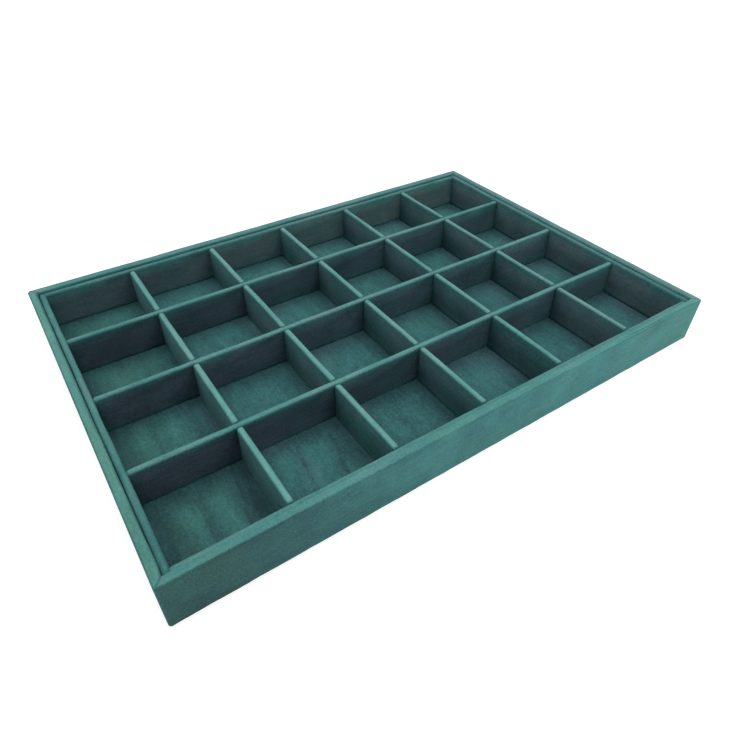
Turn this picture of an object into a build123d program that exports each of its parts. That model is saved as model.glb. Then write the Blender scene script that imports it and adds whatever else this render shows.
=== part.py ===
from build123d import *
import os

# Specimen tray with 24 compartments: four wrapped rails and a base board, and inside them
# a floor sheet, a liner of four wrapped strips, three long dividers and twenty short ones.
# Millimetres. The origin is the centre of the underside, +X runs along the long side to
# the right, +Y to the back and +Z up.

# ---- driving dimensions ----
# The tray, measured over its suede
tray_length = 350.0
tray_width = 240.0
tray_height = 30.0

# Sheet and board thicknesses
suede_thickness = 0.4
rail_thickness = 4.0
base_thickness = 2.5
floor_card_thickness = 1.0
strip_card_thickness = 2.0

# Compartments
column_count = 6
row_count = 4

# Steps down from the rim
rim_above_liner = 1.9
liner_above_dividers = 0.2

# The outer suede: how far it goes down inside the rails, and under the tray
inner_flap = 14.0
hem_width = 12.0

# Rounding of the edges that the suede is folded over
rail_edge_radius = 0.5
rail_corner_radius = 1.2
card_edge_radius = 0.6

# Clearances
base_fit = 0.1            # base board to each rail
floor_fit = 0.5           # floor card to each rail
liner_fit = 0.4           # liner to the suede inside the rails
liner_butt_gap = 0.2      # front and back liner to the side liners
divider_end_gap = 0.8     # a divider's end to what it faces
underside_gap = 0.3       # underside sheet to the edge of the hem

# ---- derived sizes ----
wrapped_rail = rail_thickness + 2 * suede_thickness
wrapped_strip = strip_card_thickness + 2 * suede_thickness

rail_frame_length = tray_length - 2 * suede_thickness
rail_frame_width = tray_width - 2 * suede_thickness
rail_opening_length = rail_frame_length - 2 * rail_thickness
rail_opening_width = rail_frame_width - 2 * rail_thickness
rim_opening_length = tray_length - 2 * wrapped_rail
rim_opening_width = tray_width - 2 * wrapped_rail

liner_length = rim_opening_length - 2 * liner_fit
liner_width = rim_opening_width - 2 * liner_fit
inside_length = liner_length - 2 * wrapped_strip
inside_width = liner_width - 2 * wrapped_strip
compartment_length = (inside_length - (column_count - 1) * wrapped_strip) / column_count
compartment_width = (inside_width - (row_count - 1) * wrapped_strip) / row_count
column_pitch = compartment_length + wrapped_strip
row_pitch = compartment_width + wrapped_strip

base_top = suede_thickness + base_thickness
floor_card_top = base_top + floor_card_thickness
floor_top = floor_card_top + suede_thickness
rail_top = tray_height - suede_thickness
liner_top = tray_height - rim_above_liner
divider_top = liner_top - liner_above_dividers


def eased(radius, thickness):
    """An edge radius, limited by the board that it is on."""
    return min(radius, 0.45 * thickness)


def slab(length, width, bottom, top):
    """A box centred on the Z axis, between two levels."""
    box = Box(length, width, top - bottom, align=(Align.CENTER, Align.CENTER, Align.MIN))
    return Pos(0, 0, bottom) * box


def write(solids, name):
    """Writes one node, of one solid or of a group of separate solids."""
    shape = solids[0] if len(solids) == 1 else Compound(children=solids)
    shape.label = name
    export_step(shape, f"parts/{name}.step")


# ---- rails and base ----
def rounded_ring(length, width, opening_length, opening_width, bottom, top, corner, edge):
    """A rectangular ring with rounded corners, top edges and outer bottom edge."""
    block = slab(length, width, bottom, top)
    block = fillet(block.edges().filter_by(Axis.Z), corner)
    block = fillet(block.faces().sort_by(Axis.Z)[0].edges(), edge)
    ring = block - slab(opening_length, opening_width, bottom, top)
    return fillet(ring.faces().sort_by(Axis.Z)[-1].edges(), edge)


def rail_frame():
    """The four rails as one ring, before it is cut at the butt joints."""
    return rounded_ring(
        rail_frame_length,
        rail_frame_width,
        rail_opening_length,
        rail_opening_width,
        suede_thickness,
        rail_top,
        rail_corner_radius,
        eased(rail_edge_radius, rail_thickness),
    )


def rails():
    """Front and back rails of the full length, with the side rails butted between them."""
    frame = rail_frame()
    front_zone = Pos(0, -(rail_opening_width + rail_thickness) / 2, 0) * slab(
        tray_length, rail_thickness, 0, tray_height
    )
    side_zone = Pos(-(rail_opening_length + rail_thickness) / 2, 0, 0) * slab(
        rail_thickness, rail_opening_width, 0, tray_height
    )
    front = frame & front_zone
    left = frame & side_zone
    return {
        "front_rail": front,
        "back_rail": front.rotate(Axis.Z, 180),
        "left_rail": left,
        "right_rail": left.rotate(Axis.Z, 180),
    }


def outer_suede():
    """One strip of suede round the rails, over the rim, down inside and turned under."""
    edge = eased(rail_edge_radius, rail_thickness) + suede_thickness
    skin = rounded_ring(
        tray_length,
        tray_width,
        rim_opening_length,
        rim_opening_width,
        0,
        tray_height,
        rail_corner_radius + suede_thickness,
        edge,
    )
    below_flap = slab(rail_opening_length, rail_opening_width, suede_thickness, tray_height - inner_flap)
    hem = slab(rail_opening_length, rail_opening_width, 0, suede_thickness)
    hem -= slab(tray_length - 2 * hem_width, tray_width - 2 * hem_width, 0, suede_thickness)
    return skin + hem - below_flap - rail_frame()


def base_board():
    return slab(
        rail_opening_length - 2 * base_fit,
        rail_opening_width - 2 * base_fit,
        suede_thickness,
        base_top,
    )


def underside_suede():
    inset = hem_width + underside_gap
    return slab(tray_length - 2 * inset, tray_width - 2 * inset, 0, suede_thickness)


# ---- floor ----
def floor_sheet(bottom, top):
    """A sheet that covers the base board between the rails."""
    return slab(rail_opening_length - 2 * floor_fit, rail_opening_width - 2 * floor_fit, bottom, top)


# ---- wrapped strips: the liner and the dividers ----
def rounded_strip(length, thickness, height, edge):
    """An upright strip on Z = 0 along X, with rounded ends and top edges."""
    strip = slab(length, thickness, 0, height)
    strip = fillet(strip.edges().filter_by(Axis.Z), edge)
    return fillet(strip.faces().sort_by(Axis.Z)[-1].edges(), edge)


def strip_card(length, top):
    """The card inside a strip whose suede is of that length and reaches that level."""
    edge = eased(card_edge_radius, strip_card_thickness)
    card = rounded_strip(
        length - 2 * suede_thickness,
        strip_card_thickness,
        top - floor_top - suede_thickness,
        edge,
    )
    return Pos(0, 0, floor_top) * card


def strip_suede(length, top):
    """Suede folded over the top and the ends of a strip's card, and open below."""
    edge = eased(card_edge_radius, strip_card_thickness) + suede_thickness
    cover = rounded_strip(length, wrapped_strip, top - floor_top, edge)
    return Pos(0, 0, floor_top) * cover - strip_card(length, top)


def liner_places():
    """Each liner strip's name, length and location."""
    side_x = (liner_length - wrapped_strip) / 2
    end_y = (liner_width - wrapped_strip) / 2
    between = inside_length - 2 * liner_butt_gap
    return [
        ("front_liner", between, Pos(0, -end_y, 0)),
        ("back_liner", between, Pos(0, end_y, 0)),
        ("left_liner", liner_width, Pos(-side_x, 0, 0) * Rot(0, 0, 90)),
        ("right_liner", liner_width, Pos(side_x, 0, 0) * Rot(0, 0, 90)),
    ]


def long_divider_places():
    """Each long divider's name and location, from the front."""
    first_y = -(row_count / 2 - 1) * row_pitch
    return [
        (f"long_divider_{index + 1}", Pos(0, first_y + index * row_pitch, 0))
        for index in range(row_count - 1)
    ]


def cross_divider_places(row):
    """Each short divider's name and location in one row, from the left."""
    y = (row - (row_count - 1) / 2) * row_pitch
    first_x = -(column_count / 2 - 1) * column_pitch
    return [
        (f"cross_divider_row{row + 1}_{index + 1}", Pos(first_x + index * column_pitch, y, 0) * Rot(0, 0, 90))
        for index in range(column_count - 1)
    ]


# ---- the nodes ----
os.makedirs("parts", exist_ok=True)

for rail_name, rail in rails().items():
    write([rail], rail_name)
write([outer_suede()], "outer_suede")
write([base_board()], "base_board")
write([underside_suede()], "underside_suede")
write([floor_sheet(base_top, floor_card_top)], "floor_card")
write([floor_sheet(floor_card_top, floor_top)], "floor_suede")

for liner_name, liner_strip_length, place in liner_places():
    write([place * strip_card(liner_strip_length, liner_top)], f"{liner_name}_card")
    write([place * strip_suede(liner_strip_length, liner_top)], f"{liner_name}_suede")

long_divider_length = inside_length - 2 * divider_end_gap
for divider_name, place in long_divider_places():
    write([place * strip_card(long_divider_length, divider_top)], f"{divider_name}_card")
    write([place * strip_suede(long_divider_length, divider_top)], f"{divider_name}_suede")

cross_divider_length = compartment_width - 2 * divider_end_gap
cross_card = strip_card(cross_divider_length, divider_top)
cross_suede = strip_suede(cross_divider_length, divider_top)
for row in range(row_count):
    places = cross_divider_places(row)
    write([place * cross_card for _, place in places], f"cross_divider_cards_row{row + 1}")
    for divider_name, place in places:
        write([place * cross_suede], f"{divider_name}_suede")
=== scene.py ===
import math

import bmesh
import bpy
import numpy as np
from mathutils import Matrix, Vector, noise


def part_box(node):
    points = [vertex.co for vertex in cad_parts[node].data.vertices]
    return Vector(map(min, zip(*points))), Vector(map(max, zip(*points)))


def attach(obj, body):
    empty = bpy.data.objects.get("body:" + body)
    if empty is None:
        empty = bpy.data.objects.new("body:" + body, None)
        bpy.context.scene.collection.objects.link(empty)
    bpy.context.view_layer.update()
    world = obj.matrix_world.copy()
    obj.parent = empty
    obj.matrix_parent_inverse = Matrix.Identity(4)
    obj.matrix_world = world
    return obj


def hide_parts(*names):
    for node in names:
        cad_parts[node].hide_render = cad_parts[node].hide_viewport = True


# The looks of a suede specimen tray with 24 compartments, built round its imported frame.
# Metres, in the frame's own axes: +X along the long side, +Y to the back and +Z up. Every
# suede piece is a thin sheet over the board or card that carries it. Each vertex stores
# where it lies in the flat cloth, so that the fibres and the nap follow the folds.

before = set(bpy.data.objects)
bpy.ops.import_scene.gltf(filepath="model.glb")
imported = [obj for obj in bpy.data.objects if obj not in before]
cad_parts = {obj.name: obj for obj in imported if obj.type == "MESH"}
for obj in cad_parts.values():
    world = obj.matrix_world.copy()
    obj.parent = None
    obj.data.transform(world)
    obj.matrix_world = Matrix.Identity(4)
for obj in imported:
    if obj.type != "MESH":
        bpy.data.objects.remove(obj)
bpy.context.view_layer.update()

MM = 0.001
body = "root"

# ---- sizes, from the frame ----
tray_low, tray_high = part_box("outer_suede")
rail_low, rail_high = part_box("front_rail")
underside_low, underside_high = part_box("underside_suede")

tray_length = tray_high.x - tray_low.x
tray_width = tray_high.y - tray_low.y
tray_height = tray_high.z
suede_thickness = rail_low.y - tray_low.y
rim_width = rail_high.y + suede_thickness - tray_low.y
row_count = len([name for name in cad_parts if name.startswith("cross_divider_cards")])
long_divider_count = row_count - 1
column_count = 1 + len(
    [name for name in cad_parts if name.startswith("cross_divider_row1_")]
)

# ---- how the suede lies, in metres ----
flap_depth = 14 * MM           # the outer suede inside the rails
hem_gap = 0.3 * MM             # underside sheet to the hem
hem_width = underside_low.x - tray_low.x - hem_gap
outer_rounding = 0.9 * MM      # the rim's outer edge, and the tray's lower edge
inner_rounding = 0.9 * MM      # the rim's inner edge
corner_rounding = 1.6 * MM
strip_rounding = 1.25 * MM     # height of a strip's domed top
wall_sheen_slope = 0.42              # how much paler a strip's walls are at the tray's right end: a painted sheen
edge_wander = 0.16 * MM        # how far a strip's suede wanders from its card
level_wander = 0.10 * MM       # how far its top goes up and down
foot_depth = 0.25 * MM         # how far its lower edge is pressed into the floor's suede

# Each liner strip: how far its suede is off its place, to the front or to the right, how far
# its top is pressed down, and how it looks. That is its pale top (0 to 1), the fold with a
# painted highlight, at its left or front end, middle and other end, the painted shade or light
# on its walls (-1 to 1), and the grey of its walls (0 to 1), a painted sheen and tint of their
# shade, at the tray's left end, middle and right end.
liner_strips = [
    ("front", 0.28 * MM, 0.25 * MM, (0.52, 0.52, 0.52), -0.5, (0.3, 0.3, 0.3)),
    ("back", 0.10 * MM, 0.0, (0.30, 0.30, 0.30), 0.80, (0.9, 0.6, 0.7)),
    ("left", 0.28 * MM, 0.0, (0.18, 0.46, 0.42), -0.5, (0.3, 0.3, 0.3)),
    ("right", 0.28 * MM, -0.20 * MM, (0.16, 0.31, 0.40), 0.20, (0.6, 0.6, 0.6)),
]
# The long dividers' pale tops, the fold with a painted highlight, and the grey of their walls, a
# painted sheen and tint of their shade, as for the liner strips.
long_divider_fold_and_highlight = (0.54, 0.67, 0.66)
long_divider_wall_sheen = (0.72, 0.34, 0.42)

# How pale the floor is in each row of compartments, from the front: painted shade in the front row and
# painted light in the back row
floor_row_tones = (-0.15, 0.0, 0.0, 0.30)

# The mitred folds of the rim, from the front left corner round by the front right: how
# deep each is, and how high the suede is bunched up before it and after it.
corner_folds = [
    (0.28 * MM, 0.42 * MM, 0.05 * MM),
    (0.26 * MM, 0.12 * MM, 0.10 * MM),
    (0.25 * MM, 0.10 * MM, 0.10 * MM),
    (0.28 * MM, 0.12 * MM, 0.14 * MM),
]

# A crease that runs along the right end of the front rim: its two ends as (distance from
# the tray's centre, distance from the outer face), and its depth.
rim_crease_start = (92 * MM, 2.3 * MM)
rim_crease_end = (170 * MM, 1.0 * MM)
rim_crease_depth = 0.28 * MM

# How far in the left rim's inner edge is at the front end. It is as far out at the back.
left_edge_slant = 0.30 * MM

# Where the floor's nap is brushed or ridged, and one dark stroke that is painted shade by a
# wall: points along the stroke in mm, its half width in mm and its tone, below zero for a dark one.
strokes = [
    ([(-150, -72), (-149, -84), (-147, -98), (-146, -111)], 3.6, 0.75),
    ([(-141, -70), (-142.5, -86), (-144, -111)], 1.5, -0.75),
    ([(-134, -74), (-132, -90), (-131, -111)], 4.2, 0.80),
    ([(-121, -61), (-122, -75), (-125, -88), (-128, -111)], 1.1, -1.00),
    # This dark stroke along the front left compartment's right wall is painted shade together with
    # darker nap.
    ([(-117, -66), (-119, -84), (-121, -111)], 3.0, -0.85),
    ([(-160, -66), (-161, -90), (-160, -111)], 3.2, -0.25),
    ([(-96, -71), (-100, -84), (-106, -98)], 3.6, 0.55),
    ([(-87, -67), (-89.5, -84), (-94, -108)], 0.9, -0.90),
    ([(-83, -70), (-85, -86), (-88, -108)], 2.4, 0.70),
    ([(-76, -72), (-78, -86), (-81, -100)], 2.6, 0.45),
    ([(-67.5, -68), (-70, -82), (-75, -106)], 0.9, -1.00),
    ([(-64, -84), (-60, -86), (-58.5, -92)], 1.6, -0.45),
    ([(-30, -80), (-25, -86), (-20, -88)], 1.2, -0.50),
    ([(-28, -86), (-23, -91), (-17, -93)], 1.2, 0.45),
    ([(-150, -6), (-152, -22), (-150, -50)], 3.4, 0.60),
    ([(-144, -8), (-146, -28), (-146, -50)], 1.3, -0.50),
    ([(-136, -8), (-134, -26), (-133, -50)], 3.6, 0.55),
    ([(-122, -4), (-123, -20), (-126, -50)], 1.8, -0.60),
    ([(-96, -8), (-101, -26), (-104, -46)], 3.0, 0.35),
    ([(-82, 12), (-86, 30), (-92, 46)], 1.4, -0.40),
    ([(-150, 48), (-148, 30), (-149, 10)], 3.4, 0.40),
    ([(-130, 46), (-133, 26), (-137, 8)], 1.6, -0.35),
    ([(-20, -12), (-30, -30), (-36, -46)], 2.2, 0.30),
    ([(24, -68), (18, -84), (12, -100)], 2.6, 0.35),
    ([(76, -70), (70, -86), (66, -100)], 1.6, -0.35),
    ([(30, 44), (22, 28), (16, 12)], 2.4, 0.30),
]

# ---- noise ----
def waves(distance, seed, longest, count=4):
    """A smooth curve of about -1 to 1 along a distance, the same for the same seed."""
    draws = np.random.default_rng(seed)
    total = np.zeros_like(distance)
    weight = 0.0
    for step in range(count):
        length = longest / 1.8 ** step
        share = draws.uniform(0.6, 1.0) / (1 + step)
        total += share * np.sin(2 * np.pi * (distance / length + draws.uniform()))
        weight += share
    return total / weight


def mottle(points, size, seed):
    """Smooth 3-D noise of about -1 to 1 at each point, with lumps of about that size."""
    offset = Vector((17.3 * seed, 5.1 * seed, 9.7 * seed))
    return np.array([noise.noise(Vector(point) / size + offset) for point in points])


def smooth_step(values, start, end):
    share = np.clip((values - start) / (end - start), 0, 1)
    return share * share * (3 - 2 * share)


def bell(distance, width):
    """1 at no distance, and near 0 at twice the width."""
    return np.exp(-((distance / width) ** 2))


def distance_to_path(points, path):
    """How far each point is from a path of straight pieces, seen from above."""
    nearest = np.full(len(points), np.inf)
    for start, end in zip(path[:-1], path[1:]):
        run = end - start
        share = np.clip((points[:, :2] - start) @ run / (run @ run), 0, 1)
        gap = points[:, :2] - start - share[:, None] * run
        nearest = np.minimum(nearest, np.hypot(gap[:, 0], gap[:, 1]))
    return nearest


# ---- meshes ----
def grid_faces(rows, columns, closed_rows=False):
    """Quads between the points of a grid that is stored row by row."""
    row_total = rows if closed_rows else rows - 1
    faces = []
    for row in range(row_total):
        here = row * columns
        there = (row + 1) % rows * columns
        for column in range(columns - 1):
            faces.append((here + column, here + column + 1, there + column + 1, there + column))
    return faces


def store(mesh, name, values):
    """Writes one number or one vector for each vertex."""
    values = np.asarray(values, np.float32)
    kind, key = ("FLOAT", "value") if values.ndim == 1 else ("FLOAT_VECTOR", "vector")
    attribute = mesh.attributes.new(name, kind, "POINT")
    attribute.data.foreach_set(key, values.ravel())


def mesh_object(name, points, faces, cloth, fold_and_highlight, nap_and_painted_light, bloom_and_sheen, outward=True):
    """A smooth mesh that stores its cloth coordinates and three tones of the suede.

    The first tone is how pale the suede is, 0 to 1: where it bends sharply, and a painted
    highlight on lit tops. The second is which way the nap was brushed, with painted light and
    shade, -1 to 1. The third is how grey it looks, 0 to 1, where the nap stands up and as a
    painted sheen and tint of shade, or how green, 0 to -1.
    """
    mesh = bpy.data.meshes.new(name)
    mesh.from_pydata([tuple(point) for point in points], [], faces)
    if not outward:
        mesh.flip_normals()
    store(mesh, "cloth", cloth)
    store(mesh, "fold_and_highlight", fold_and_highlight)
    store(mesh, "nap_and_painted_light", nap_and_painted_light)
    store(mesh, "bloom_and_sheen", np.clip(bloom_and_sheen, -1, 1))
    mesh.polygons.foreach_set("use_smooth", [True] * len(mesh.polygons))
    made = bpy.data.objects.new(name, mesh)
    bpy.context.scene.collection.objects.link(made)
    return made


def thicken(piece):
    """Gives a sheet the suede's thickness, on its inner side."""
    modifier = piece.modifiers.new("thickness", "SOLIDIFY")
    modifier.thickness = suede_thickness
    modifier.offset = -1.0
    modifier.use_even_offset = False


def dress(piece, node, material):
    """Puts a suede piece in the place of its frame node."""
    piece.data.materials.append(material)
    thicken(piece)
    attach(piece, body)
    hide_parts(node)


# ---- materials ----
def node_maker(material):
    """A material's cleared node tree, with two short functions that add and link nodes."""
    material.use_nodes = True
    tree = material.node_tree
    tree.nodes.clear()

    def add(kind, **settings):
        made = tree.nodes.new(kind)
        for key, value in settings.items():
            setattr(made, key, value)
        return made

    def fill(node, **values):
        for key, value in values.items():
            socket = node.inputs[key.replace("_", " ")]
            if isinstance(value, bpy.types.NodeSocket):
                tree.links.new(value, socket)
            else:
                socket.default_value = value
        return node

    return tree, add, fill


def noise_of(add, fill, vector, stretch, scale, detail, roughness, distortion=0.0):
    """Noise over a vector that is first stretched along its axes. Scale is per metre."""
    stretched = add("ShaderNodeVectorMath", operation="MULTIPLY")
    stretched.inputs[1].default_value = stretch
    stretched.id_data.links.new(vector, stretched.inputs[0])
    made = fill(
        add("ShaderNodeTexNoise", noise_dimensions="3D"),
        Vector=stretched.outputs[0],
        Scale=scale,
        Detail=detail,
        Roughness=roughness,
        Distortion=distortion,
    )
    return made.outputs["Fac"]


def weighted_sum(add, fill, start, *terms):
    """start plus each (value, weight) pair, where a noise value is counted from its middle."""
    total = start
    for value, weight, middle in terms:
        centred = add("ShaderNodeMath", operation="SUBTRACT")
        centred.inputs[1].default_value = middle
        tree = centred.id_data
        tree.links.new(value, centred.inputs[0])
        term = add("ShaderNodeMath", operation="MULTIPLY_ADD")
        tree.links.new(centred.outputs[0], term.inputs[0])
        term.inputs[1].default_value = weight
        if isinstance(total, float):
            term.inputs[2].default_value = total
        else:
            tree.links.new(total, term.inputs[2])
        total = term.outputs[0]
    return total


def colour_ramp(add, fill, factor, stops):
    ramp = add("ShaderNodeValToRGB")
    ramp.id_data.links.new(factor, ramp.inputs["Fac"])
    elements = ramp.color_ramp.elements
    while len(elements) < len(stops):
        elements.new(0.5)
    for element, (position, colour) in zip(elements, stops):
        element.position = position
        element.color = (*colour, 1.0)
    return ramp.outputs["Color"]


def mixed(add, share, first, second):
    """first, turning into second as share goes from 0 to 1."""
    mix = add("ShaderNodeMix", data_type="RGBA", clamp_factor=True)
    tree = mix.id_data
    factor, _, _, _, _, _, first_socket, second_socket = mix.inputs[:8]
    tree.links.new(share, factor)
    tree.links.new(first, first_socket)
    tree.links.new(second, second_socket)
    return mix.outputs[2]


def suede_material():
    """Teal microsuede: a short nap, brushed in patches, paler where it is folded over, with the
    painted highlight, light, shade and sheen that its mesh stores.
    """
    material = bpy.data.materials.new("suede")
    tree, add, fill = node_maker(material)
    cloth = add("ShaderNodeAttribute", attribute_name="cloth").outputs["Vector"]
    fold_and_highlight = add("ShaderNodeAttribute", attribute_name="fold_and_highlight").outputs["Fac"]
    nap_and_painted_light = add("ShaderNodeAttribute", attribute_name="nap_and_painted_light").outputs["Fac"]
    bloom_and_sheen = add("ShaderNodeAttribute", attribute_name="bloom_and_sheen").outputs["Fac"]

    fibres = noise_of(add, fill, cloth, (1, 1, 1), 2200, 2, 0.6)
    grain = noise_of(add, fill, cloth, (1, 1, 1), 850, 3, 0.7)
    streaks = noise_of(add, fill, cloth, (0.10, 1, 1), 520, 3, 0.6)
    brushed = noise_of(add, fill, cloth, (1, 1, 1), 120, 4, 0.6, 0.8)
    patches = noise_of(add, fill, cloth, (0.7, 1, 1), 34, 2, 0.5, 0.5)
    hue = noise_of(add, fill, cloth, (1, 1.3, 1), 60, 2, 0.5, 0.4)
    tone = weighted_sum(
        add,
        fill,
        0.35,
        (fold_and_highlight, 0.50, 0.0),
        (nap_and_painted_light, 0.20, 0.0),
        (fibres, 0.32, 0.5),
        (grain, 0.60, 0.5),
        (streaks, 0.24, 0.5),
        (brushed, 0.22, 0.5),
        (patches, 0.20, 0.5),
    )
    teal = colour_ramp(
        add,
        fill,
        tone,
        [
            (0.00, (0.022, 0.050, 0.063)),
            (0.20, (0.031, 0.088, 0.101)),
            (0.38, (0.042, 0.148, 0.152)),
            (0.70, (0.085, 0.255, 0.248)),
            (1.00, (0.154, 0.370, 0.358)),
        ],
    )
    grey = colour_ramp(
        add,
        fill,
        tone,
        [
            (0.00, (0.046, 0.049, 0.080)),
            (0.38, (0.091, 0.143, 0.188)),
            (0.60, (0.143, 0.217, 0.222)),
            (1.00, (0.238, 0.352, 0.332)),
        ],
    )
    green = colour_ramp(
        add,
        fill,
        tone,
        [
            (0.00, (0.024, 0.052, 0.052)),
            (0.38, (0.047, 0.147, 0.128)),
            (1.00, (0.164, 0.368, 0.308)),
        ],
    )
    greyness = weighted_sum(add, fill, 0.0, (bloom_and_sheen, 1.0, 0.0), (patches, 1.2, 0.55))
    greenness = weighted_sum(add, fill, 0.0, (hue, 1.6, 0.47), (bloom_and_sheen, -1.0, 0.0))
    colour = mixed(add, greyness, mixed(add, greenness, teal, green), grey)
    height = weighted_sum(
        add, fill, 0.5, (fibres, 0.8, 0.5), (grain, 1.0, 0.5), (brushed, 0.6, 0.5)
    )
    bump = fill(add("ShaderNodeBump"), Strength=0.5, Distance=0.15 * MM, Height=height)
    shader = fill(
        add("ShaderNodeBsdfPrincipled"),
        Base_Color=colour,
        Roughness=0.95,
        Specular_IOR_Level=0.10,
        Sheen_Weight=0.20,
        Sheen_Roughness=0.40,
        Sheen_Tint=(0.40, 0.88, 0.88, 1.0),
        Normal=bump.outputs["Normal"],
    )
    fill(add("ShaderNodeOutputMaterial"), Surface=shader.outputs["BSDF"])
    return material


def board_material(name, dark, light, fibre_scale):
    """Pressed board or card: fine fibres in two tones."""
    material = bpy.data.materials.new(name)
    tree, add, fill = node_maker(material)
    place = add("ShaderNodeTexCoord").outputs["Object"]
    fibres = noise_of(add, fill, place, (1, 1, 0.4), fibre_scale, 5, 0.7, 0.6)
    clumps = noise_of(add, fill, place, (1, 1, 1), fibre_scale * 0.12, 3, 0.5)
    tone = weighted_sum(add, fill, 0.5, (fibres, 0.9, 0.5), (clumps, 0.4, 0.5))
    colour = colour_ramp(add, fill, tone, [(0.25, dark), (0.75, light)])
    bump = fill(add("ShaderNodeBump"), Strength=0.3, Distance=0.1 * MM, Height=fibres)
    shader = fill(
        add("ShaderNodeBsdfPrincipled"),
        Base_Color=colour,
        Roughness=0.85,
        Normal=bump.outputs["Normal"],
    )
    fill(add("ShaderNodeOutputMaterial"), Surface=shader.outputs["BSDF"])
    return material


# ---- strips: the liner and the dividers ----
def strip_stations(half_length, half_thickness, spacing):
    """The strip's outline from above, as (centre along the strip, direction out of it).

    The ends are squarish half rounds about the ends of the strip's centre line.
    """
    straight = half_length - half_thickness
    count = max(4, round(2 * straight / spacing))
    along = np.linspace(-straight, straight, count + 1)
    end_angles = np.radians(np.linspace(90, -90, 15)[1:-1])
    squareness = 2 / 2.8
    end_x = np.cos(end_angles) ** squareness
    end_y = np.sign(np.sin(end_angles)) * np.abs(np.sin(end_angles)) ** squareness
    stations = [(x, 0.0, 1.0) for x in along]
    stations += [(straight, x, y) for x, y in zip(end_x, end_y)]
    stations += [(x, 0.0, -1.0) for x in along[::-1]]
    stations += [(-straight, -x, -y) for x, y in zip(end_x, end_y)]
    return np.array(stations)


def strip_profile(bottom, top, dome):
    """The strip's section from the floor up to its centre line, as (width share, level)."""
    wall = np.linspace(bottom, top - dome, max(3, round((top - bottom - dome) / (2 * MM))))
    angles = np.radians(np.linspace(0, 90, 12))[1:]
    squareness = 2 / 2.3
    dome_widths = np.cos(angles) ** squareness
    dome_widths[-1] = 0.0
    dome_levels = top - dome + dome * np.sin(angles) ** squareness
    widths = np.concatenate([np.ones(len(wall)), dome_widths])
    return widths, np.concatenate([wall, dome_levels])


def strip_surface(columns, rows):
    """The faces of a strip's rings of points. The top ring is folded flat on its middle."""
    faces = []
    for row in range(rows - 1):
        for column in range(columns):
            beside = (column + 1) % columns
            faces.append(
                (
                    row * columns + column,
                    row * columns + beside,
                    (row + 1) * columns + beside,
                    (row + 1) * columns + column,
                )
            )
    return faces


def merged(points, faces):
    """The same surface with coinciding points joined and no faces of no area."""
    shape = bmesh.new()
    corners = [shape.verts.new(tuple(point)) for point in points]
    for face in faces:
        shape.faces.new([corners[index] for index in face])
    bmesh.ops.remove_doubles(shape, verts=shape.verts, dist=0.002 * MM)
    shape.verts.ensure_lookup_table()
    points = np.array([tuple(vertex.co) for vertex in shape.verts])
    faces = [tuple(vertex.index for vertex in face.verts) for face in shape.faces]
    shape.free()
    return points, faces


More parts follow.
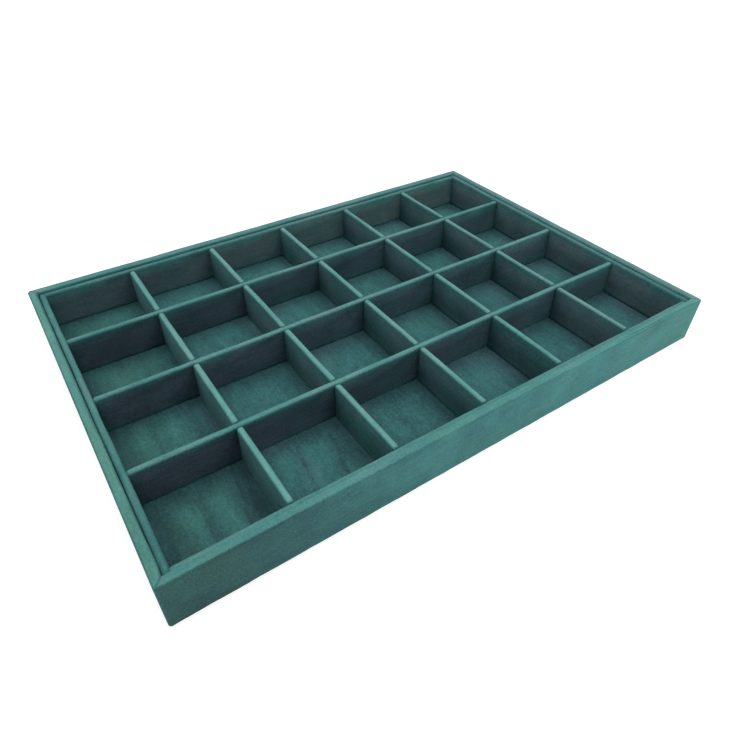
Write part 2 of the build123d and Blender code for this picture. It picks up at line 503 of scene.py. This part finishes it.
def suede_strip(name, node, material, seed, top_tones, wall_tone, bloom_and_sheen, shift=0.0, drop=0.0):
    """Suede folded over a strip's card, in the place of the strip's frame node.

    top_tones are those of its pale top, the fold with a painted highlight, 0 to 1, at its left
    or front end, middle and other end. wall_tone is painted shade or light on its walls, -1 to 1.
    The grey of its walls, a painted sheen and tint of their shade, is given at the tray's left
    end, middle and right end. shift moves it to the front or, where it runs from front to back,
    to the right. drop lowers its top.
    """
    low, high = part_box(node)
    along_y = high.y - low.y > high.x - low.x
    centre = (low + high) / 2
    length = max(high.x - low.x, high.y - low.y)
    half_thickness = min(high.x - low.x, high.y - low.y) / 2
    height = high.z - low.z
    stations = strip_stations(length / 2, half_thickness, 1.6 * MM)
    widths, levels = strip_profile(low.z - foot_depth, high.z, strip_rounding)

    start = stations[:, 0]
    sideways = edge_wander * waves(start, seed, 95 * MM)
    swell = 1 + 0.05 * waves(start, seed + 1, 40 * MM)
    lift = level_wander * waves(start, seed + 2, 60 * MM)
    height_share = np.maximum(levels - low.z, 0) / height
    half = half_thickness * swell[None, :] * widths[:, None]
    x = stations[None, :, 0] + half * stations[None, :, 1]
    y = sideways[None, :] * height_share[:, None] + half * stations[None, :, 2] - shift
    z = levels[:, None] + (lift[None, :] - drop) * height_share[:, None] ** 2
    points = np.stack([x, y, z], axis=-1).reshape(-1, 3)
    points, faces = merged(points, strip_surface(len(stations), len(levels)))

    depth = high.z - drop - points[:, 2]
    side = np.sign(points[:, 1] + shift)
    around = points[:, 1] + side * np.maximum(depth, 0)
    cloth = np.stack([points[:, 0], around, np.full(len(points), 0.37 * seed)], axis=-1)
    end_distance = length / 2 - np.abs(points[:, 0])
    top_tone = np.interp(points[:, 0], [-length / 2, 0, length / 2], top_tones)
    # The pale top: the fold, and a painted highlight on it.
    fold_and_highlight = np.maximum(
        top_tone * (1 - smooth_step(depth, 0.0, 0.78 * MM)),
        0.2 * (1 - smooth_step(end_distance, 0.2 * MM, 1.3 * MM)),
    )
    nap_and_painted_light = 0.35 * mottle(points, 16 * MM, seed)
    on_wall = smooth_step(depth, 0.5 * MM, 1.8 * MM)
    above_floor = points[:, 2] - low.z
    # Painted light where a wall meets the floor, against the dark line there, and painted shade a
    # little above it.
    nap_and_painted_light += 1.50 * bell(above_floor, 1.6 * MM) - 0.18 * bell(above_floor, 5 * MM)
    middle = smooth_step(depth, 1.5 * MM, 7 * MM) * smooth_step(above_floor, -2 * MM, 6 * MM)
    middle *= smooth_step(end_distance, 0, 7 * MM)
    if along_y:
        # Painted shade on a cross divider's walls near its ends, most at the back end.
        back_corner_shade = bell(length / 2 - points[:, 0], 12 * MM)
        front_corner_shade = bell(length / 2 + points[:, 0], 9 * MM)
        nap_and_painted_light -= on_wall * (0.85 * back_corner_shade + 0.2 * front_corner_shade)
        points = np.stack([-points[:, 1], points[:, 0], points[:, 2]], axis=-1)
    points += np.array([centre.x, centre.y, 0.0])
    # Painted shade or light on the walls, with a painted sheen that grows toward the tray's right end.
    nap_and_painted_light += on_wall * (wall_tone + wall_sheen_slope * points[:, 0] / (tray_length / 2))
    # Grey: a little everywhere, more on the tops toward the back right, and in the middle of the walls
    # a painted sheen and tint of their shade.
    wall_sheen_here = np.interp(points[:, 0], [tray_low.x, 0.0, tray_high.x], bloom_and_sheen)
    uneven = 0.5 * mottle(points, 22 * MM, seed + 3)
    far = 0.5 + (points[:, 0] / tray_length + points[:, 1] / tray_width) / 2
    grey_and_sheen_share = 0.08 + (1 - on_wall) * 0.30 * far + on_wall * middle * (1.5 * wall_sheen_here + uneven)

    piece = mesh_object(name, points, faces, cloth, fold_and_highlight, nap_and_painted_light, grey_and_sheen_share)
    dress(piece, node, material)
    return piece


# ---- the outer suede ----
def wrap_profile():
    """The outer suede's section, from the hem under the tray to the flap inside the rails.

    Each point is (distance in from the outer face, level), and comes with the section's
    length up to there.
    """

    def run(start, end, spacing):
        count = max(1, round(math.dist(start, end) / spacing))
        return [
            tuple(np.array(start) + (np.array(end) - np.array(start)) * step / count)
            for step in range(count)
        ]

    def arc(centre, radius, first_angle, last_angle, count=7):
        angles = np.radians(np.linspace(first_angle, last_angle, count + 1)[:-1])
        return [
            (centre[0] + radius * math.cos(angle), centre[1] + radius * math.sin(angle))
            for angle in angles
        ]

    outer, inner = outer_rounding, inner_rounding
    flap_end = (rim_width, tray_height - flap_depth)
    points = run((hem_width, 0), (outer, 0), 2 * MM)
    points += arc((outer, outer), outer, -90, -180)
    points += run((0, outer), (0, tray_height - outer), 1.5 * MM)
    points += arc((outer, tray_height - outer), outer, 180, 90)
    points += run((outer, tray_height), (rim_width - inner, tray_height), 0.35 * MM)
    points += arc((rim_width - inner, tray_height - inner), inner, 90, 0)
    points += run((rim_width, tray_height - inner), flap_end, 1.5 * MM) + [flap_end]
    points = np.array(points)
    steps = np.linalg.norm(np.diff(points, axis=0), axis=1)
    return points, np.concatenate([[0], np.cumsum(steps)])


def side_distances(length):
    """Places along one side, close together near its corners. The last corner is left out."""
    near = np.array([0, 0.1, 0.2, 0.32, 0.46, 0.64, 0.88, 1.2, 1.6, 2.2, 3.0, 4.2]) * MM
    count = round((length / 2 - near[-1]) / (2 * MM))
    first_half = np.concatenate([near, np.linspace(near[-1], length / 2, count + 1)[1:]])
    return np.concatenate([first_half, length - first_half[-2:0:-1]])


def on_side(inset, distance, length):
    """Where a line at that inset passes, as (distance along the side, depth from its face).

    distance is along the outer face from the corner's diagonal. Near a corner the lines
    across the suede run along the diagonal, and about the middle of the side square to it.
    """
    from_corner = min(distance, length - distance)
    radius = max(corner_rounding - inset, 0.0)
    arc_end = radius * math.pi / 4
    edge = max(corner_rounding, inset)
    outer_arc_end = corner_rounding * math.pi / 4
    outer_half = outer_arc_end + length / 2 - corner_rounding
    run = from_corner * (arc_end + length / 2 - edge) / outer_half
    if run < arc_end:
        turn = math.pi / 4 + run / radius
        along = corner_rounding - radius * math.cos(turn)
        depth = corner_rounding - radius * math.sin(turn)
    else:
        along = edge + run - arc_end
        depth = inset
    if distance > length / 2:
        along = length - along
    return along, depth, run


def outer_wrap(material):
    """One strip of suede round the rails, with a mitred fold at each corner of the rim."""
    profile, profile_length = wrap_profile()
    corners = [
        Vector((tray_low.x, tray_low.y, 0)),
        Vector((tray_high.x, tray_low.y, 0)),
        Vector((tray_high.x, tray_high.y, 0)),
        Vector((tray_low.x, tray_high.y, 0)),
    ]
    rows = len(profile)
    points, inwards, places, runs, folds = [], [], [], [], []
    travelled = 0.0
    for side, corner in enumerate(corners):
        following = (side + 1) % 4
        along = (corners[following] - corner).normalized()
        inward = Vector((-along.y, along.x, 0))
        length = (corners[following] - corner).length
        for distance in side_distances(length):
            starts_here = distance < length / 2
            depth_of_fold, bunch_before, bunch_after = corner_folds[side if starts_here else following]
            folds.append((depth_of_fold, bunch_after if starts_here else bunch_before))
            places.append(travelled + distance)
            for inset, level in profile:
                run_along, depth, run = on_side(inset, distance, length)
                points.append(corner + along * run_along + inward * depth + Vector((0, 0, level)))
                inwards.append(inward)
                runs.append(run)
        travelled += length
    stations = len(places)
    points = np.array([tuple(point) for point in points]).reshape(stations, rows, 3)
    inwards = np.array([tuple(inward) for inward in inwards]).reshape(stations, rows, 3)
    runs = np.array(runs).reshape(stations, rows)
    places = np.array(places)
    folds = np.array(folds)

    inset, level = profile[:, 0], profile[:, 1]
    on_top = smooth_step(level, tray_height - 1.1 * MM, tray_height - 0.15 * MM)
    top_tone = on_top * smooth_step(inset, 0.2 * MM, 1.1 * MM)
    in_gap = smooth_step(inset, rim_width - 0.3 * MM, rim_width) * (1 - on_top)
    inner = on_top * smooth_step(inset, outer_rounding, rim_width - inner_rounding)
    outer = on_top * (1 - smooth_step(inset, 0, rim_width / 2))
    at_foot = (1 - smooth_step(level, 0, 3 * MM)) * (1 - smooth_step(inset, 0, 3 * MM))

    # The rim's edges wander a little and its top goes up and down, less so at the corners.
    calm = smooth_step(runs, 0.5 * MM, 6 * MM)
    shift = 0.20 * MM * waves(places, 11, 70 * MM)[:, None] * inner
    shift += 0.10 * MM * waves(places, 12, 50 * MM)[:, None] * outer
    on_left, on_right = inwards[:, :, 0] > 0.5, inwards[:, :, 0] < -0.5
    in_front, on_back = inwards[:, :, 1] > 0.5, inwards[:, :, 1] < -0.5
    shift -= left_edge_slant * points[:, :, 1] / (tray_width / 2) * on_left * inner
    shift += 0.10 * MM * (1 + waves(places, 14, 22 * MM))[:, None] * at_foot
    points += inwards * (shift * calm)[:, :, None]
    points[:, :, 2] += 0.12 * MM * waves(places, 13, 80 * MM)[:, None] * on_top * calm
    points[:, :, 2] += 0.10 * MM * (1 + waves(places, 15, 30 * MM))[:, None] * at_foot * calm

    # The mitred folds: a crease along the diagonal, and suede bunched up on both sides.
    off_crease = runs / math.sqrt(2)
    crease = bell(off_crease, 0.34 * MM)
    bunch = bell(off_crease - 0.95 * MM, 0.60 * MM)
    points[:, :, 2] += on_top * (folds[:, 1, None] * bunch - folds[:, 0, None] * crease)

    # The crease along the front rim
    (start_x, start_inset), (end_x, end_inset) = rim_crease_start, rim_crease_end
    share = (points[:, :, 0] - start_x) / (end_x - start_x)
    crease_inset = start_inset + (end_inset - start_inset) * share
    rim_crease = bell(inset - crease_inset, 0.38 * MM) * on_top * in_front
    rim_crease *= smooth_step(share, 0, 0.25) * (1 - smooth_step(share, 0.9, 1.0))
    points[:, :, 2] -= rim_crease_depth * rim_crease

    # Painted shade along the mitred creases, in the front rim's crease and toward the inner edge of
    # the left and right rims by the gap, and a painted highlight that grows toward the front rim's
    # right end and the left rim's back end.
    crease_shade = bell(off_crease, 0.55 * MM)
    edge_shade = smooth_step(inset, rim_width - 1.2 * MM, rim_width - 0.2 * MM) * on_left
    edge_shade += 0.35 * smooth_step(inset, 1.2 * MM, 3.6 * MM) * on_right
    fold_and_highlight = 0.57 * top_tone * (1 - 0.50 * crease_shade) * (1 - 0.8 * rim_crease) * (1 - edge_shade)
    fold_and_highlight *= 1 + in_front * (0.22 * points[:, :, 0] / (tray_length / 2) - 0.06)
    fold_and_highlight *= 1 + on_left * (0.25 * points[:, :, 1] / (tray_width / 2) + 0.05)
    cloth = np.zeros_like(points)
    cloth[:, :, 0] = places[:, None]
    cloth[:, :, 1] = profile_length[None, :]
    points = points.reshape(-1, 3)
    nap_and_painted_light = 0.4 * mottle(points, 18 * MM, 8) * (1 - np.tile(top_tone, stations))
    # Painted light in the gap between rim and liner, most on the right, and a little painted shade
    # there on the left.
    gap_light_and_shade = 0.4 - 0.5 * on_left + 0.9 * on_right + 0.4 * on_back
    nap_and_painted_light += (gap_light_and_shade * in_gap).ravel()
    # Painted shade on the front face toward its left end.
    shaded_left_end = 1 - smooth_step(points[:, 0], tray_low.x, -0.08 * tray_length)
    on_front_face = in_front.ravel() * (1 - np.tile(top_tone, stations))
    nap_and_painted_light -= 1.1 * shaded_left_end * on_front_face
    bloom_and_sheen = 0.15 * mottle(points, 26 * MM, 9)
    bloom_and_sheen += (on_top * (0.35 * bunch + 0.25 * (on_right | on_back) - 0.4 * on_left)).ravel()
    bloom_and_sheen -= 0.7 * (points[:, 0] / (tray_length / 2)) ** 2 * on_front_face
    piece = mesh_object(
        "outer_suede_wrap",
        points,
        grid_faces(stations, rows, closed_rows=True),
        cloth.reshape(-1, 3),
        fold_and_highlight.ravel(),
        nap_and_painted_light,
        bloom_and_sheen,
        outward=False,
    )
    dress(piece, "outer_suede", material)
    return piece


# ---- flat sheets ----
def flat_sheet(name, node, material, spacing, unevenness, faces_up, seed):
    """A sheet glued flat, with slight hollows and swellings. Its fibres run to the back."""
    low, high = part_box(node)
    columns = round((high.x - low.x) / spacing) + 1
    rows = round((high.y - low.y) / spacing) + 1
    x, y = np.meshgrid(np.linspace(low.x, high.x, columns), np.linspace(low.y, high.y, rows))
    points = np.stack([x.ravel(), y.ravel(), np.full(x.size, high.z)], axis=-1)
    lumps = mottle(points, 14 * MM, seed) + mottle(points, 5 * MM, seed + 1)
    if faces_up:
        points[:, 2] += unevenness * lumps / 2
    else:
        points[:, 2] = low.z + unevenness * (lumps - lumps.min()) / 2
    nap_and_painted_light = 0.3 * mottle(points * (1, 0.35, 1), 7 * MM, seed + 2)
    bloom_and_sheen = 0.14 * mottle(points, 24 * MM, seed + 3)
    if faces_up:
        for path, half_width, stroke_tone in strokes:
            distance = distance_to_path(points, np.array(path) * MM)
            pressed = stroke_tone * bell(distance, half_width * MM)
            nap_and_painted_light += 0.7 * pressed
            points[:, 2] += 0.15 * MM * pressed
        # Painted shade on the floor near the walls, deepest close to them, with grey as a painted tint
        # of the shade, and painted light right at a wall's foot, against the dark line there. The
        # floor is also darker and greener in the left column, and painted lighter or darker by row.
        from_wall = wall_distance(points)
        shaded = bell(from_wall, 8 * MM)
        left_column = 1 - smooth_step(points[:, 0], -0.40 * tray_length, -0.28 * tray_length)
        nap_and_painted_light -= 0.08 + 0.38 * shaded + 0.22 * bell(from_wall, 16 * MM) + 0.25 * left_column
        nap_and_painted_light += 0.40 * bell(from_wall, 1.4 * MM)
        row_centres = (np.arange(row_count) + 0.5 - row_count / 2) * tray_width / row_count
        nap_and_painted_light += np.interp(points[:, 1], row_centres, floor_row_tones)
        bloom_and_sheen += 0.3 * shaded - 0.5 * left_column
    cloth = np.stack([points[:, 1], points[:, 0], np.full(len(points), 0.37 * seed)], axis=-1)
    faces = grid_faces(rows, columns)
    fold_and_highlight = np.zeros(len(points))
    piece = mesh_object(name, points, faces, cloth, fold_and_highlight, nap_and_painted_light, bloom_and_sheen, outward=faces_up)
    dress(piece, node, material)
    return piece


def wall_distance(points):
    """How far each point of the floor is from the nearest liner or divider."""
    nearest = np.full(len(points), np.inf)
    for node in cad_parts:
        if not node.endswith("_suede") or "divider" not in node and "liner" not in node:
            continue
        low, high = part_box(node)
        gap_x = np.maximum(np.maximum(low.x - points[:, 0], points[:, 0] - high.x), 0)
        gap_y = np.maximum(np.maximum(low.y - points[:, 1], points[:, 1] - high.y), 0)
        nearest = np.minimum(nearest, np.hypot(gap_x, gap_y))
    return nearest


# ---- the pieces ----
suede = suede_material()
mdf = board_material("rail_board", (0.30, 0.20, 0.11), (0.48, 0.35, 0.21), 900)
hardboard = board_material("base_board", (0.16, 0.09, 0.045), (0.30, 0.18, 0.09), 700)
grey_card = board_material("grey_card", (0.23, 0.22, 0.20), (0.38, 0.37, 0.34), 1100)

for node_name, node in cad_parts.items():
    if node_name.endswith("_rail"):
        finish = mdf
    elif node_name == "base_board":
        finish = hardboard
    elif "_card" in node_name:
        finish = grey_card
    else:
        continue
    node.data.materials.clear()
    node.data.materials.append(finish)

outer_wrap(suede)
flat_sheet("floor_suede_sheet", "floor_suede", suede, 1.6 * MM, 0.12 * MM, True, 3)
flat_sheet("underside_suede_sheet", "underside_suede", suede, 2.5 * MM, 0.05 * MM, False, 4)

for index, (side, shift, drop, top_tones, wall_tone, bloom_and_sheen) in enumerate(liner_strips):
    suede_strip(
        f"{side}_liner_wrap",
        f"{side}_liner_suede",
        suede,
        20 + 5 * index,
        top_tones,
        wall_tone,
        bloom_and_sheen,
        shift,
        drop,
    )

# The long dividers' tops get less painted highlight from one divider to the next, and the first one's
# walls more painted shade.
for index in range(long_divider_count):
    node = f"long_divider_{index + 1}"
    suede_strip(
        f"{node}_wrap",
        f"{node}_suede",
        suede,
        60 + 5 * index,
        [tone - 0.03 * index for tone in long_divider_fold_and_highlight],
        -0.62 if index == 0 else -0.40,
        long_divider_wall_sheen,
    )

for row in range(row_count):
    for index in range(column_count - 1):
        node = f"cross_divider_row{row + 1}_{index + 1}"
        seed = 100 + 25 * row + 5 * index
        # Toward the right, the tops get less painted highlight and the walls more grey painted sheen.
        top_tones = [0.96 - 0.04 * index] * 3
        bloom_and_sheen = [0.10 + 0.09 * index] * 3
        suede_strip(f"{node}_wrap", f"{node}_suede", suede, seed, top_tones, 0.07, bloom_and_sheen)


# ---- floor, light and camera ----
camera_aim = (-0.01715, -0.02703, 0.0)


def white_ground():
    """A pale floor that shows as white and keeps the tray's shadow."""
    material = bpy.data.materials.new("ground")
    tree, add, fill = node_maker(material)
    rays = add("ShaderNodeLightPath")
    seen = add("ShaderNodeMath", operation="MAXIMUM")
    tree.links.new(rays.outputs["Is Camera Ray"], seen.inputs[0])
    tree.links.new(rays.outputs["Is Glossy Ray"], seen.inputs[1])
    diffuse = fill(add("ShaderNodeBsdfDiffuse"), Color=(0.85, 0.85, 0.85, 1.0))
    faint = fill(add("ShaderNodeBsdfDiffuse"), Color=(0.42, 0.42, 0.42, 1.0))
    glow = fill(add("ShaderNodeEmission"), Color=(1.0, 1.0, 1.0, 1.0), Strength=0.72)
    both = add("ShaderNodeAddShader")
    tree.links.new(faint.outputs[0], both.inputs[0])
    tree.links.new(glow.outputs[0], both.inputs[1])
    choice = add("ShaderNodeMixShader")
    tree.links.new(seen.outputs[0], choice.inputs[0])
    tree.links.new(diffuse.outputs[0], choice.inputs[1])
    tree.links.new(both.outputs[0], choice.inputs[2])
    fill(add("ShaderNodeOutputMaterial"), Surface=choice.outputs[0])

    half = 4.0
    mesh = bpy.data.meshes.new("ground")
    level = -0.02 * MM
    mesh.from_pydata(
        [(-half, -half, level), (half, -half, level), (half, half, level), (-half, half, level)],
        [],
        [(0, 1, 2, 3)],
    )
    mesh.materials.append(material)
    ground = bpy.data.objects.new("ground", mesh)
    bpy.context.scene.collection.objects.link(ground)


def soft_sky(horizon, zenith, focus, axis):
    """Light from all round, brighter about an axis. The camera sees plain white."""
    world = bpy.data.worlds.new("studio")
    bpy.context.scene.world = world
    tree, add, fill = node_maker(world)
    direction = add("ShaderNodeTexCoord").outputs["Generated"]
    facing = add("ShaderNodeVectorMath", operation="DOT_PRODUCT")
    tree.links.new(direction, facing.inputs[0])
    facing.inputs[1].default_value = Vector(axis).normalized()
    upward = add("ShaderNodeMath", operation="MAXIMUM")
    tree.links.new(facing.outputs["Value"], upward.inputs[0])
    upward.inputs[1].default_value = 0.0
    focused = add("ShaderNodeMath", operation="POWER")
    tree.links.new(upward.outputs[0], focused.inputs[0])
    focused.inputs[1].default_value = focus
    strength = add("ShaderNodeMath", operation="MULTIPLY_ADD")
    tree.links.new(focused.outputs[0], strength.inputs[0])
    strength.inputs[1].default_value = zenith - horizon
    strength.inputs[2].default_value = horizon
    sky = fill(add("ShaderNodeBackground"), Color=(1.0, 1.0, 0.96, 1.0), Strength=strength.outputs[0])
    white = fill(add("ShaderNodeBackground"), Color=(1.0, 1.0, 1.0, 1.0), Strength=1.0)
    rays = add("ShaderNodeLightPath")
    choice = add("ShaderNodeMixShader")
    tree.links.new(rays.outputs["Is Camera Ray"], choice.inputs[0])
    tree.links.new(sky.outputs[0], choice.inputs[1])
    tree.links.new(white.outputs[0], choice.inputs[2])
    fill(add("ShaderNodeOutputWorld"), Surface=choice.outputs[0])


def soft_lamp(name, place, aim, size, power):
    """A square softbox."""
    data = bpy.data.lights.new(name, "AREA")
    data.size = size
    data.energy = power
    lamp = bpy.data.objects.new(name, data)
    lamp.location = place
    lamp.rotation_euler = (Vector(aim) - Vector(place)).to_track_quat("-Z", "Y").to_euler()
    bpy.context.scene.collection.objects.link(lamp)


def camera(place, aim, roll, lens):
    """The photograph's viewpoint: about level with the tray's front left corner, above it."""
    data = bpy.data.cameras.new("camera")
    data.lens = lens
    data.sensor_width = 36.0
    data.clip_start = 0.01
    data.clip_end = 20.0
    made = bpy.data.objects.new("camera", data)
    turn = (Vector(aim) - Vector(place)).to_track_quat("-Z", "Y").to_matrix().to_4x4()
    made.matrix_world = Matrix.Translation(Vector(place)) @ turn @ Matrix.Rotation(roll, 4, "Z")
    bpy.context.scene.collection.objects.link(made)
    bpy.context.scene.camera = made


white_ground()
soft_sky(horizon=0.10, zenith=3.8, focus=6.0, axis=(0.07, 0.10, 1.0))
soft_lamp("low_front", (0.30, -0.60, 0.065), (0.06, -0.12, 0.015), 0.12, 1.9)
soft_lamp("upper_front", (0.10, -0.55, 0.38), (0.0, 0.0, 0.0), 0.25, 0.5)
soft_lamp("left", (-1.60, 0.0, 0.30), (0.0, 0.0, 0.02), 0.40, 6.0)
camera(
    place=(-0.17230, -0.25585, 0.23818),
    aim=camera_aim,
    roll=math.radians(0.525),
    lens=29.021,
)
bpy.context.scene.view_settings.view_transform = "Standard"
